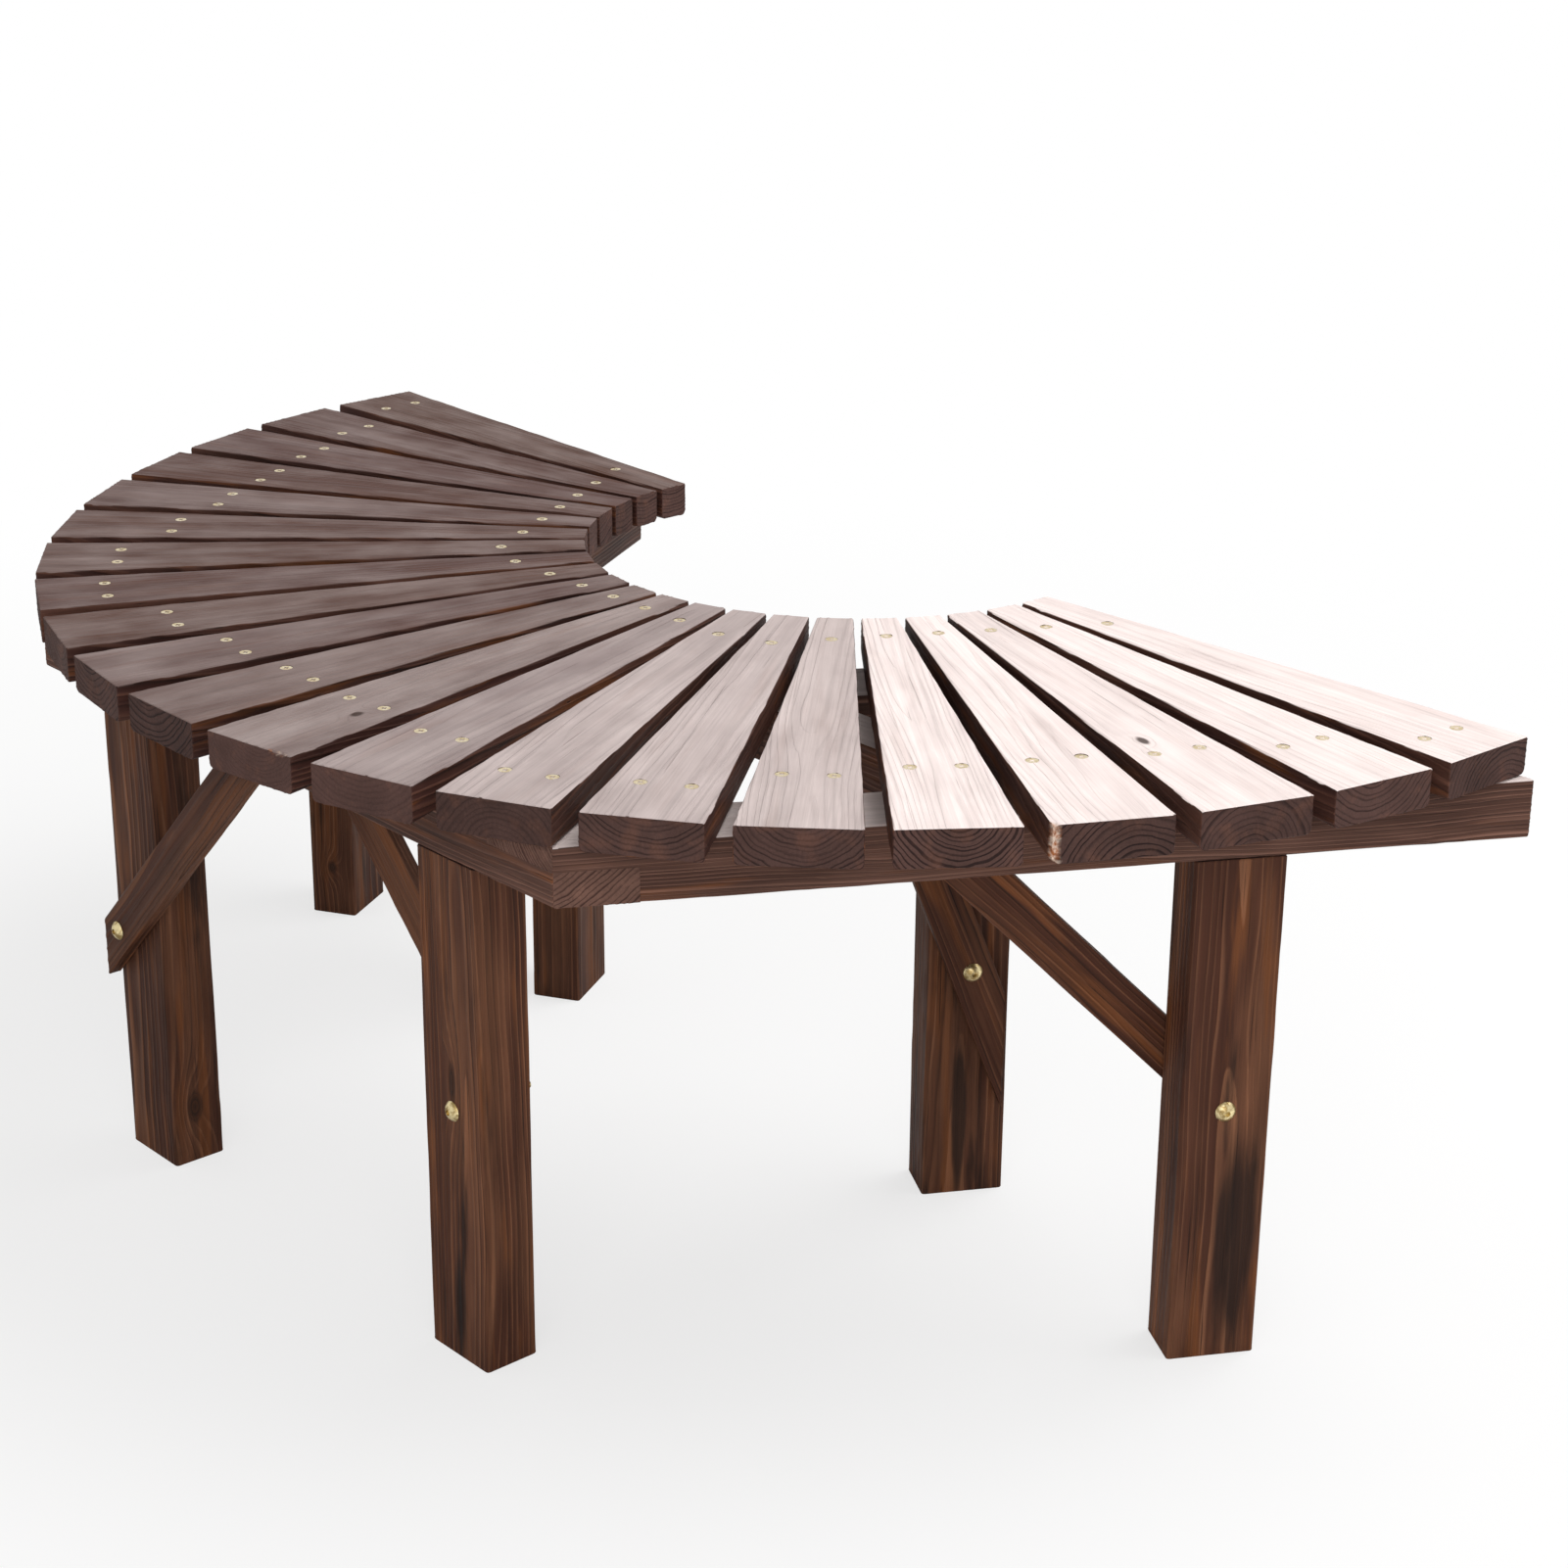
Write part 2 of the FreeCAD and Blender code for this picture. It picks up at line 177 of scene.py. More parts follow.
def new_tree(name, kind, inputs, outputs):
    """A node group with named inputs and outputs, each (name, socket type, default)."""
    group = bpy.data.node_groups.new(name, kind)
    for direction, items in (("INPUT", inputs), ("OUTPUT", outputs)):
        for item in items:
            socket = group.interface.new_socket(item[0], in_out=direction, socket_type=item[1])
            if len(item) > 2:
                socket.default_value = item[2]
    tree = Tree(group)
    given = tree.add("NodeGroupInput").outputs
    result = tree.add("NodeGroupOutput").inputs
    return tree, given, result


# How the wood grew. The same nodes shape a board's surface and colour it.

pith_wander = 0.022     # how far the pith strays, and how often in a metre
wander_rate = 2.6
ripple_depth = 0.0065   # how far a ring strays from a circle, and how often in a metre
ripple_rate = (5.0, 44.0, 44.0)
knot_swell = 2.4        # how many rings bend round a knot, and how fast that fades
knot_fade = -0.55
ring_drift = 1.5        # how much wider or narrower some rings are


def growth_rings(tree, place, pith, seed, spacing, from_knot):
    """Place within the year's ring from 0 to 1, a random strength for that ring, the reach from the
    knot in its own sizes, and the board's shift for every noise."""
    shift = tree.join(tree.math("MULTIPLY", seed, 7.3), tree.math("MULTIPLY", seed, 3.1), seed)
    x, y, z = tree.split(place)
    along = tree.vector("ADD", tree.join(tree.math("MULTIPLY", x, wander_rate), 0.0, 0.0), shift)
    wander = tree.vector("SUBTRACT", tree.noise(along, colour=True), (0.5, 0.5, 0.5))
    centre = tree.vector("ADD", pith, tree.vector("SCALE", wander, scale=pith_wander))
    across = tree.vector("MULTIPLY", tree.vector("SUBTRACT", place, centre), (0.0, 1.0, 1.0))
    reach = tree.vector("LENGTH", across)
    ripple = tree.swing(tree.cloud(place, ripple_rate, shift), ripple_depth)
    knot_reach = tree.vector("LENGTH", from_knot)
    fade = tree.math("MULTIPLY", tree.math("MULTIPLY", knot_reach, knot_reach), knot_fade)
    swell = tree.math("MULTIPLY", tree.math("EXPONENT", fade), tree.math("MULTIPLY", spacing, knot_swell))
    reach = tree.math("ADD", tree.math("ADD", reach, ripple), swell)
    phase = tree.math("DIVIDE", reach, spacing)
    uneven = tree.noise(tree.join(tree.math("MULTIPLY", phase, 0.6), seed, 0.0), detail=1.0)
    phase = tree.math("ADD", phase, tree.math("MULTIPLY", uneven, ring_drift))
    strength = tree.add("ShaderNodeTexWhiteNoise", noise_dimensions="2D")
    tree.put(strength.inputs["Vector"], tree.join(tree.math("FLOOR", phase), seed, 0.0))
    return {"ring": tree.math("FRACT", phase), "strength": strength.outputs["Value"],
            "knot_reach": knot_reach, "shift": shift}


def late_wood(tree, ring):
    """The hard, narrow band that ends each ring."""
    rise = tree.step(ring, 0.58, 0.84)
    fall = tree.step(ring, 0.93, 1.0, 1.0, 0.0)
    return tree.math("MULTIPLY", rise, fall)


# Board shape

saw_depth = 0.0004   # how uneven the saw left the faces
saw_rate = (9.0, 16.0, 16.0)
torn_depth = 0.005   # how deep a chip is torn
torn_rate = (160.0, 420.0, 420.0)

board_inputs = [
    ("Low Start", "NodeSocketFloat"), ("Low End", "NodeSocketFloat"),
    ("High Start", "NodeSocketFloat"), ("High End", "NodeSocketFloat"),
    ("Start Width", "NodeSocketFloat"), ("End Width", "NodeSocketFloat"),
    ("Thickness", "NodeSocketFloat"), ("Upper Radius", "NodeSocketFloat"),
    ("Lower Radius", "NodeSocketFloat"), ("Bleach", "NodeSocketFloat", 0.3),
    ("Tone", "NodeSocketFloat", 1.0), ("Grey", "NodeSocketFloat", 0.5),
    ("End Wear", "NodeSocketFloat", 0.0007), ("Relief", "NodeSocketFloat", 0.0003),
    ("Flat Ends", "NodeSocketFloat", 0.0), ("Stations", "NodeSocketInt", 60),
    ("Across Count", "NodeSocketInt", 40), ("Depth Count", "NodeSocketInt", 20),
    ("Place", "NodeSocketVector"), ("Turn", "NodeSocketRotation"),
    ("Pith", "NodeSocketVector"), ("Seed", "NodeSocketFloat"), ("Ring Spacing", "NodeSocketFloat"),
    ("Figure", "NodeSocketFloat", 1.0), ("Knot", "NodeSocketVector"), ("Knot Size", "NodeSocketVector"),
    ("Chip", "NodeSocketVector"), ("Chip Size", "NodeSocketVector"),
    ("Scorch", "NodeSocketVector"), ("Scorch Size", "NodeSocketVector"),
    ("Cutter", "NodeSocketObject"), ("Crossing Cuts", "NodeSocketBool", False),
    ("Material", "NodeSocketMaterial"),
]


def store(tree, mesh, name, value, kind="FLOAT_VECTOR", domain="POINT"):
    node = tree.add("GeometryNodeStoreNamedAttribute", data_type=kind, domain=domain)
    tree.put(node.inputs["Geometry"], mesh)
    node.inputs["Name"].default_value = name
    tree.put(sockets(node.inputs)["Value"], value)
    return node.outputs[0]


def move_points(tree, mesh, socket, value):
    """Set the points' Position, or move them by an Offset."""
    node = tree.add("GeometryNodeSetPosition")
    tree.put(node.inputs["Geometry"], mesh)
    tree.put(node.inputs[socket], value)
    return node.outputs[0]


def point_place(tree):
    return tree.add("GeometryNodeInputPosition").outputs[0]


def facing(tree):
    return tree.add("GeometryNodeInputNormal").outputs[0]


def endwise(tree):
    """How squarely a face or point looks along the board."""
    return tree.math("ABSOLUTE", tree.split(facing(tree))[0])


def from_spot(tree, place, given, name):
    """Where a point is from a knot, chip or scorched patch, in that spot's own sizes."""
    return tree.vector("DIVIDE", tree.vector("SUBTRACT", place, given[name]), given[name + " Size"])


def block_of_points(tree, given):
    """A unit block of points, with its two ends marked as end grain."""
    cube = tree.add("GeometryNodeMeshCube")
    cube.inputs["Size"].default_value = (1, 1, 1)
    for socket, name in (("Vertices X", "Stations"), ("Vertices Y", "Across Count"),
                         ("Vertices Z", "Depth Count")):
        tree.put(cube.inputs[socket], given[name])
    on_end = tree.math("GREATER_THAN", endwise(tree), 0.9)
    return store(tree, cube.outputs["Mesh"], "end_grain", on_end, "FLOAT", "FACE")


def along_board(tree, given, x, y):
    """Share of the length, place along the board and distance from the nearer end. Stations lie close
    together at both ends, and the board's two edges may start and end at different places."""
    even = tree.math("ADD", x, 0.5)
    crowd = tree.math("SINE", tree.math("MULTIPLY", even, 2 * math.pi))
    share = tree.math("SUBTRACT", even, tree.math("MULTIPLY", crowd, end_crowding / (2 * math.pi)))
    high = tree.math("ADD", y, 0.5)
    start = tree.between(given["Low Start"], given["High Start"], high)
    end = tree.between(given["Low End"], given["High End"], high)
    length = tree.math("SUBTRACT", end, start)
    from_end = tree.math("MULTIPLY", tree.math("MINIMUM", share, tree.rest(share)), length)
    return share, tree.between(start, end, share), from_end


def rounded_section(tree, given, share, y, z):
    """Places across and through the board with round corners, each with the board's size that way."""
    width = tree.between(given["Start Width"], given["End Width"], share)
    radius = tree.between(given["Lower Radius"], given["Upper Radius"], tree.math("GREATER_THAN", z, 0.0))
    cores = []
    overs = []
    sizes = (width, given["Thickness"])
    for part, size in zip((y, z), sizes):
        half = tree.math("SUBTRACT", tree.math("MULTIPLY", size, 0.5), radius)
        place = tree.math("MULTIPLY", part, size)
        core = tree.math("MAXIMUM", tree.math("MINIMUM", place, half), tree.math("MULTIPLY", half, -1.0))
        cores.append(core)
        overs.append(tree.math("SUBTRACT", place, core))
    over_y, over_z = overs
    big = tree.math("MAXIMUM", tree.math("ABSOLUTE", over_y), tree.math("ABSOLUTE", over_z))
    spread = tree.math("SQRT", tree.math("ADD", tree.math("MULTIPLY", over_y, over_y),
                                         tree.math("MULTIPLY", over_z, over_z)))
    pull = tree.math("DIVIDE", big, tree.math("MAXIMUM", spread, 1e-7))
    sides = [tree.math("ADD", core, tree.math("MULTIPLY", over, pull)) for core, over in zip(cores, overs)]
    return zip(sides, sizes)


def worn_ends(tree, given, from_end, section):
    """The section drawn in where the arris at each end is worn round."""
    near = tree.math("SUBTRACT", 1.0, tree.math("DIVIDE", from_end, given["End Wear"]), clamp=True)
    bow = tree.math("SQRT", tree.rest(tree.math("MULTIPLY", near, near)))
    inset = tree.math("MULTIPLY", given["End Wear"], tree.rest(bow))
    drawn_in = []
    for side, size in section:
        squeeze = tree.rest(tree.math("DIVIDE", tree.math("MULTIPLY", inset, 2.0), size))
        drawn_in.append(tree.math("MULTIPLY", side, squeeze))
    return drawn_in


def weather_surface(tree, given, mesh):
    """Soft early wood lies lower than late wood, the saw left the faces uneven, and the chip is torn
    away."""
    place = point_place(tree)
    growth = growth_rings(tree, place, given["Pith"], given["Seed"], given["Ring Spacing"],
                          from_spot(tree, place, given, "Knot"))
    low = tree.math("MULTIPLY", tree.rest(late_wood(tree, growth["ring"])), given["Relief"])
    saw = tree.cloud(place, saw_rate, growth["shift"])
    low = tree.math("ADD", low, tree.math("MULTIPLY", saw, saw_depth))
    low = tree.math("MULTIPLY", low, tree.rest(tree.math("MULTIPLY", endwise(tree), given["Flat Ends"])))
    torn = tree.noise(tree.vector("MULTIPLY", place, torn_rate), detail=3.0)
    from_chip = tree.vector("LENGTH", from_spot(tree, place, given, "Chip"))
    chipped = tree.step(tree.math("ADD", from_chip, tree.math("MULTIPLY", torn, 0.8)), 0.9, 1.35, 1.0, 0.0)
    low = tree.math("ADD", low, tree.math("MULTIPLY", chipped, tree.math("MULTIPLY", torn, torn_depth)))
    inwards = tree.vector("SCALE", facing(tree), scale=tree.math("MULTIPLY", low, -1.0))
    return store(tree, move_points(tree, mesh, "Offset", inwards), "chipped", chipped, "FLOAT")


def place_and_house(tree, given, mesh):
    """Move the board to its place on the bench and cut what it is housed over."""
    there = tree.add("GeometryNodeTransform")
    tree.put(there.inputs["Geometry"], mesh)
    tree.put(there.inputs["Translation"], given["Place"])
    tree.put(there.inputs["Rotation"], given["Turn"])
    cutter = tree.add("GeometryNodeObjectInfo", transform_space="RELATIVE")
    tree.put(cutter.inputs["Object"], given["Cutter"])
    cut = tree.add("GeometryNodeMeshBoolean", operation="DIFFERENCE", solver="EXACT")
    tree.put(cut.inputs["Mesh 1"], there.outputs[0])
    tree.put(cut.inputs["Mesh 2"], cutter.outputs["Geometry"])
    tree.put(cut.inputs["Self Intersection"], given["Crossing Cuts"])
    return cut.outputs["Mesh"]


def keep_growth(tree, given, mesh):
    """Each point keeps its place in the board, so the grain runs through every face, cut ones too."""
    matrix = tree.add("FunctionNodeCombineTransform")
    tree.put(matrix.inputs["Translation"], given["Place"])
    tree.put(matrix.inputs["Rotation"], given["Turn"])
    back = tree.add("FunctionNodeInvertMatrix")
    tree.put(back.inputs[0], matrix.outputs[0])
    within = tree.add("FunctionNodeTransformPoint")
    tree.put(within.inputs[0], point_place(tree))
    tree.put(within.inputs[1], back.outputs[0])
    place = within.outputs[0]
    mesh = store(tree, mesh, "board_place", place)
    mesh = store(tree, mesh, "pith", given["Pith"])
    mesh = store(tree, mesh, "from_knot", from_spot(tree, place, given, "Knot"))
    mesh = store(tree, mesh, "growth", tree.join(given["Seed"], given["Ring Spacing"], given["Figure"]))
    mesh = store(tree, mesh, "from_scorch", from_spot(tree, place, given, "Scorch"))
    return store(tree, mesh, "finish", tree.join(given["Bleach"], given["Tone"], given["Grey"]))


def make_board_tree():
    """A sawn board: rounded long edges, worn ends, raised grain, a chip, and its housings cut."""
    tree, given, result = new_tree("Sawn Board", "GeometryNodeTree", board_inputs,
                                   [("Geometry", "NodeSocketGeometry")])
    mesh = block_of_points(tree, given)
    x, y, z = tree.split(point_place(tree))
    share, along, from_end = along_board(tree, given, x, y)
    section = rounded_section(tree, given, share, y, z)
    across, through = worn_ends(tree, given, from_end, section)
    mesh = move_points(tree, mesh, "Position", tree.join(along, across, through))
    mesh = weather_surface(tree, given, mesh)
    mesh = place_and_house(tree, given, mesh)
    mesh = keep_growth(tree, given, mesh)
    real = tree.add("GeometryNodeRealizeInstances")
    tree.put(real.inputs[0], mesh)
    finish = tree.add("GeometryNodeSetMaterial")
    tree.put(finish.inputs["Geometry"], real.outputs[0])
    tree.put(finish.inputs["Material"], given["Material"])
    tree.put(result[0], finish.outputs[0])
    return tree.tree


def grow(name, group, values):
    """Run a tree with its named inputs and keep the result as a plain mesh object."""
    holder = bpy.data.objects.new(name, bpy.data.meshes.new(name))
    bpy.context.scene.collection.objects.link(holder)
    modifier = holder.modifiers.new("Shape", "NODES")
    modifier.node_group = group
    for item in group.interface.items_tree:
        if item.in_out == "INPUT" and item.name in values:
            value = values[item.name]
            modifier[item.identifier] = value[:] if isinstance(value, Vector) else value
    evaluated = holder.evaluated_get(bpy.context.evaluated_depsgraph_get())
    mesh = bpy.data.meshes.new_from_object(evaluated)
    holder.modifiers.remove(modifier)
    holder.data = mesh
    mesh.name = name
    mesh.shade_smooth()
    mesh.set_sharp_from_angle(angle=math.radians(sharp_angle))
    return holder


# Where each board lies, read from its solid

def corners(points):
    """The lowest and highest corner of the points' box."""
    low = Vector([min(p[i] for p in points) for i in range(3)])
    high = Vector([max(p[i] for p in points) for i in range(3)])
    return low, high


class Lie:
    """A board's own axes and sizes: along its length, across its width and through it."""

    def __init__(self, node, along, across):
        through = along.cross(across)
        axes = Matrix((along, across, through)).transposed()
        points = [axes.transposed() @ v.co for v in nodes[node].data.vertices]
        low, high = corners(points)
        middle = (low + high) / 2
        self.place = axes @ middle
        self.turn = axes.to_euler()
        self.size = high - low
        self.points = [p - middle for p in points]

    def ends(self, side):
        """Where the board starts and ends along one of its two edges, -1 or 1."""
        edge = [p.x for p in self.points if abs(p.y - side * self.size.y / 2) < same_edge]
        return min(edge), max(edge)

    def width_at(self, end):
        """Its width at its start, -1, or at its end, 1."""
        rim = [p.y for p in self.points if abs(p.x - end * self.size.x / 2) < same_edge]
        return max(rim) - min(rim)


def turned(direction, angle):
    return Matrix.Rotation(math.radians(angle), 3, "Z") @ Vector(direction)


def counts(lie):
    """How many points the surface has each way."""
    return {"Stations": int(lie.size.x / station_spacing) + end_stations,
            "Across Count": max(least_across, int(lie.size.y / point_spacing)),
            "Depth Count": max(least_through, int(lie.size.z / point_spacing))}


def make_board(name, node, lie, radii, material, slot, growth, tapered=False, cutter=None, **extra):
    """One board in place of its plain solid. The radii are those of its lower and upper long edges,
    and growth is (seed, ring spacing, pith across, pith through)."""
    seed, spacing, pith_y, pith_z = growth
    values = counts(lie)
    if tapered:
        half = lie.size.x / 2
        values.update({"Low Start": -half, "High Start": -half, "Low End": half, "High End": half,
                       "Start Width": lie.width_at(-1), "End Width": lie.width_at(1)})
    else:
        low, high = lie.ends(-1), lie.ends(1)
        values.update({"Low Start": low[0], "Low End": low[1], "High Start": high[0],
                       "High End": high[1], "Start Width": lie.size.y, "End Width": lie.size.y})
    values.update({"Thickness": lie.size.z, "Lower Radius": radii[0], "Upper Radius": radii[1],
                   "Place": lie.place, "Turn": lie.turn, "Seed": seed, "Ring Spacing": spacing,
                   "Pith": Vector((0, pith_y, pith_z)), "Knot": nowhere, "Knot Size": small_knot,
                   "Chip": nowhere, "Chip Size": small_chip, "Scorch": nowhere,
                   "Scorch Size": small_knot, "Material": material})
    if cutter:
        values["Cutter"] = cutter
    values.update({key.replace("_", " ").title(): value for key, value in extra.items()})
    board = grow(name, board_tree, values)
    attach(board, "root")
    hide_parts(node)
    return board


def fixed_random(number, salt):
    """A repeatable number from 0 to 1."""
    return math.modf(abs(math.sin(number * 12.9898 + salt * 78.233)) * 43758.5453)[0]


# Colours, as they look in plain light; the tops' bleached, unbleached and greyed colours also hold painted
# sunlight, shade and sheen

def colour(red, green, blue):
    """An 8-bit display colour as a linear one."""
    linear = [((c / 255 + 0.055) / 1.055) ** 2.4 if c > 10 else c / 3295 for c in (red, green, blue)]
    return tuple(linear) + (1.0,)


def attribute(tree, name, output="Vector"):
    return tree.add("ShaderNodeAttribute", attribute_name=name).outputs[output]


torn_pale = colour(240, 218, 200)
torn_amber = colour(172, 104, 62)
pore_rate = (620.0, 620.0, 620.0)

# The board's noises, from fine fibres to broad patches that follow the grain: how many grains to a
# metre along, across and through, then detail, offset and roughness
cloud_shapes = {
    "fibre": ((14.0, 800.0, 800.0), 2.0, 0.0, 0.55),
    "streak": ((3.0, 150.0, 150.0), 3.0, 5.0, 0.55),
    "patch": ((4.0, 26.0, 26.0), 3.0, 11.0, 0.55),
    "flame": ((5.0, 45.0, 45.0), 4.0, 23.0, 0.62),
    "stain": ((6.0, 60.0, 60.0), 3.0, 31.0, 0.55),
    "mottle": ((15.0, 32.0, 32.0), 3.0, 47.0, 0.55),
    "blotch": ((60.0, 60.0, 60.0), 3.0, 59.0, 0.55),
    "splinter": ((30.0, 190.0, 190.0), 3.0, 67.0, 0.55),
    "shrinkage": ((6.0, 420.0, 420.0), 2.0, 73.0, 0.55),
}

wood_inputs = [
    ("Early Wood", "NodeSocketColor"), ("Late Wood", "NodeSocketColor"), ("Charred", "NodeSocketColor"),
    ("Amber", "NodeSocketColor"), ("End Grain", "NodeSocketColor"), ("End Line", "NodeSocketColor"),
    ("Bleached", "NodeSocketColor"), ("Sheltered", "NodeSocketColor"), ("Greyed", "NodeSocketColor"),
    ("Weathering", "NodeSocketFloat", 1.0), ("Line Strength", "NodeSocketFloat", 1.0),
    ("Charred Share", "NodeSocketFloat", 0.5),
]


class StainedSoftwood:
    """The shader group that every wood shares: rings, fibres, charred and amber patches, bleached
    tops that also carry painted sunlight and sheen, and drying cracks."""

    def __init__(self):
        self.tree, self.given, self.result = new_tree(
            "Stained Softwood", "ShaderNodeTree", wood_inputs,
            [("Color", "NodeSocketColor"), ("Roughness", "NodeSocketFloat"), ("Height", "NodeSocketFloat")])
        tree = self.tree
        place = attribute(tree, "board_place")
        seed, spacing, self.figure = tree.split(attribute(tree, "growth"))
        self.bleach, self.tone, self.grey = tree.split(attribute(tree, "finish"))
        growth = growth_rings(tree, place, attribute(tree, "pith"), seed, spacing,
                              attribute(tree, "from_knot"))
        self.ring = growth["ring"]
        self.strength = growth["strength"]
        self.knot_reach = growth["knot_reach"]
        self.late = late_wood(tree, self.ring)
        self.clouds = {}
        for name, (rate, detail, offset, roughness) in cloud_shapes.items():
            moved = tree.vector("ADD", tree.vector("MULTIPLY", place, rate), growth["shift"])
            moved = tree.vector("ADD", moved, (offset, offset, offset))
            self.clouds[name] = tree.noise(moved, detail, roughness)
        self.pores = tree.noise(tree.vector("MULTIPLY", place, pore_rate), 2.0)
        self.crack = tree.step(self.clouds["shrinkage"], 0.66, 0.74)
        self.heart = tree.step(self.knot_reach, 0.35, 0.8, 1.0, 0.0)
        self.on_end = attribute(tree, "end_grain", "Fac")

    def lay(self, base, share, finish):
        """A share of one of the wood's named colours laid over a base colour."""
        return self.tree.mix_colour(share, base, self.given[finish])

    def shade(self, base, middle, **swings):
        """A base colour made lighter and darker by noises that swing about a middle value."""
        tree = self.tree
        amount = None
        for name, width in swings.items():
            swing = tree.swing(self.pores if name == "pores" else self.clouds[name], width)
            amount = swing if amount is None else tree.math("ADD", amount, swing)
        amount = tree.math("ADD", amount, middle)
        return tree.mix_colour(1.0, base, tree.join(amount, amount, amount), "MULTIPLY")

    def side_colour(self):
        """Sides keep the dark stain over clear rings, with charred and amber streaks and cracks."""
        tree, clouds = self.tree, self.clouds
        paler = tree.step(clouds["patch"], 0.4, 0.66, 0.0, 0.38)
        side = self.lay(self.given["Early Wood"], paler, "Late Wood")
        side = self.lay(side, tree.step(clouds["stain"], 0.52, 0.68, 0.0, 0.75), "Amber")
        line = tree.math("MULTIPLY", self.late, tree.step(self.strength, 0.1, 0.9, 0.3, 1.0))
        clear = tree.math("MULTIPLY", self.given["Line Strength"],
                          tree.step(clouds["streak"], 0.3, 0.6, 0.4, 1.0))
        side = self.lay(side, tree.math("MULTIPLY", line, clear), "Late Wood")
        dark_line = tree.math("MULTIPLY", tree.step(self.ring, 0.0, 0.3, 0.8, 0.0),
                              tree.step(self.strength, 0.35, 1.0))
        side = self.lay(side, dark_line, "Charred")
        limit = tree.math("SUBTRACT", 0.80, tree.math("MULTIPLY", self.given["Charred Share"], 0.45))
        charred = tree.step(clouds["flame"], limit, tree.math("ADD", limit, 0.16))
        side = self.lay(side, tree.math("MULTIPLY", charred, 0.8), "Charred")
        from_scorch = tree.vector("LENGTH", attribute(tree, "from_scorch"))
        from_scorch = tree.math("ADD", from_scorch, tree.swing(clouds["flame"], 1.6))
        side = self.lay(side, tree.step(from_scorch, 0.55, 1.0, 0.85, 0.0), "Charred")
        side = self.lay(side, tree.math("MULTIPLY", self.crack, 0.75), "Charred")
        return self.shade(side, self.tone, fibre=0.6, streak=1.0, mottle=0.5)

    def top_colour(self):
        """Tops are bleached by the weather and also carry painted light: paler than the sides, near white on
        the right-hand boards as painted sunlight, darker on the left as painted shade, with soft patches like
        dappled light, and a faint figure.
        """
        tree, clouds = self.tree, self.clouds
        uneven = tree.math("ADD", tree.swing(clouds["patch"], 0.34), tree.swing(clouds["mottle"], 0.3))
        pale = tree.math("ADD", self.bleach, uneven, clamp=True)
        top = self.lay(self.given["Sheltered"], self.grey, "Greyed")
        top = self.lay(top, pale, "Bleached")
        top = self.lay(top, tree.step(clouds["stain"], 0.5, 0.8, 0.0, 0.2), "Amber")
        top = self.lay(top, tree.math("MULTIPLY", self.crack, 0.25), "Sheltered")
        figure = tree.math("MULTIPLY", tree.math("MULTIPLY", self.late, self.strength), 0.05)
        return self.shade(top, tree.rest(figure), fibre=0.3, streak=0.34)

    def end_colour(self):
        """End grain shows the rings as soft dark lines, more or less clear from board to board."""
        tree = self.tree
        line = tree.math("MULTIPLY", self.late, tree.step(self.strength, 0.0, 1.0, 0.35, 0.95))
        ends = self.lay(self.given["End Grain"], tree.math("MULTIPLY", line, self.figure), "End Line")
        ends = self.lay(ends, tree.step(self.clouds["blotch"], 0.5, 0.7, 0.0, 0.36), "Late Wood")
        return self.shade(ends, self.tone, pores=0.5, mottle=0.9)

    def with_knot_and_chip(self, body):
        """A knot's dark heart and a chip's fresh wood."""
        tree = self.tree
        knot_rings = tree.math("FRACT", tree.math("MULTIPLY", self.knot_reach, 4.0))
        knot = self.lay(self.given["Charred"], tree.math("MULTIPLY", knot_rings, 0.25), "Amber")
        body = tree.mix_colour(tree.math("MULTIPLY", self.heart, 0.9), body, knot)
        torn = tree.mix_colour(tree.step(self.clouds["splinter"], 0.38, 0.6), torn_pale, torn_amber)
        return tree.mix_colour(attribute(tree, "chipped", "Fac"), body, torn)

    def roughness(self):
        """Dull all over, and more so on end grain."""
        tree = self.tree
        rough = tree.math("ADD", tree.math("MULTIPLY", self.clouds["fibre"], 0.16),
                          tree.math("MULTIPLY", self.clouds["patch"], 0.14))
        rough = tree.math("ADD", rough, tree.math("MULTIPLY", self.on_end, 0.16))
        return tree.math("ADD", rough, 0.42)

    def height(self):
        """Late wood, fibres and end pores stand up. Cracks and a knot's heart lie low."""
        tree = self.tree
        height = tree.math("ADD", tree.math("MULTIPLY", self.late, 0.5),
                           tree.math("MULTIPLY", self.clouds["fibre"], 0.35))
        pores = tree.math("MULTIPLY", tree.math("MULTIPLY", self.pores, self.on_end), 0.4)
        low = tree.math("MULTIPLY", tree.math("ADD", self.heart, self.crack), 0.5)
        return tree.math("SUBTRACT", tree.math("ADD", height, pores), low)

    def build(self):
        tree = self.tree
        up = tree.split(tree.add("ShaderNodeNewGeometry").outputs["Normal"])[2]
        # Faces turned up take the paler top colour: weathering, and painted light from above
        weather_and_light_from_above = tree.math("MULTIPLY", tree.step(up, 0.3, 0.65), self.given["Weathering"])
        faces = tree.mix_colour(weather_and_light_from_above, self.side_colour(), self.top_colour())
        body = tree.mix_colour(self.on_end, faces, self.end_colour())
        tree.put(self.result["Color"], self.with_knot_and_chip(body))
        tree.put(self.result["Roughness"], self.roughness())
        tree.put(self.result["Height"], self.height())
        return tree.tree


def add_bump(tree, shader, height, strength, distance):
    bump = tree.add("ShaderNodeBump")
    bump.inputs["Strength"].default_value = strength
    bump.inputs["Distance"].default_value = distance
    tree.put(bump.inputs["Height"], height)
    tree.put(shader.inputs["Normal"], bump.outputs[0])


def new_material(name):
    material = bpy.data.materials.new(name)
    material.use_nodes = True
    return material, Tree(material.node_tree), material.node_tree.nodes["Principled BSDF"]


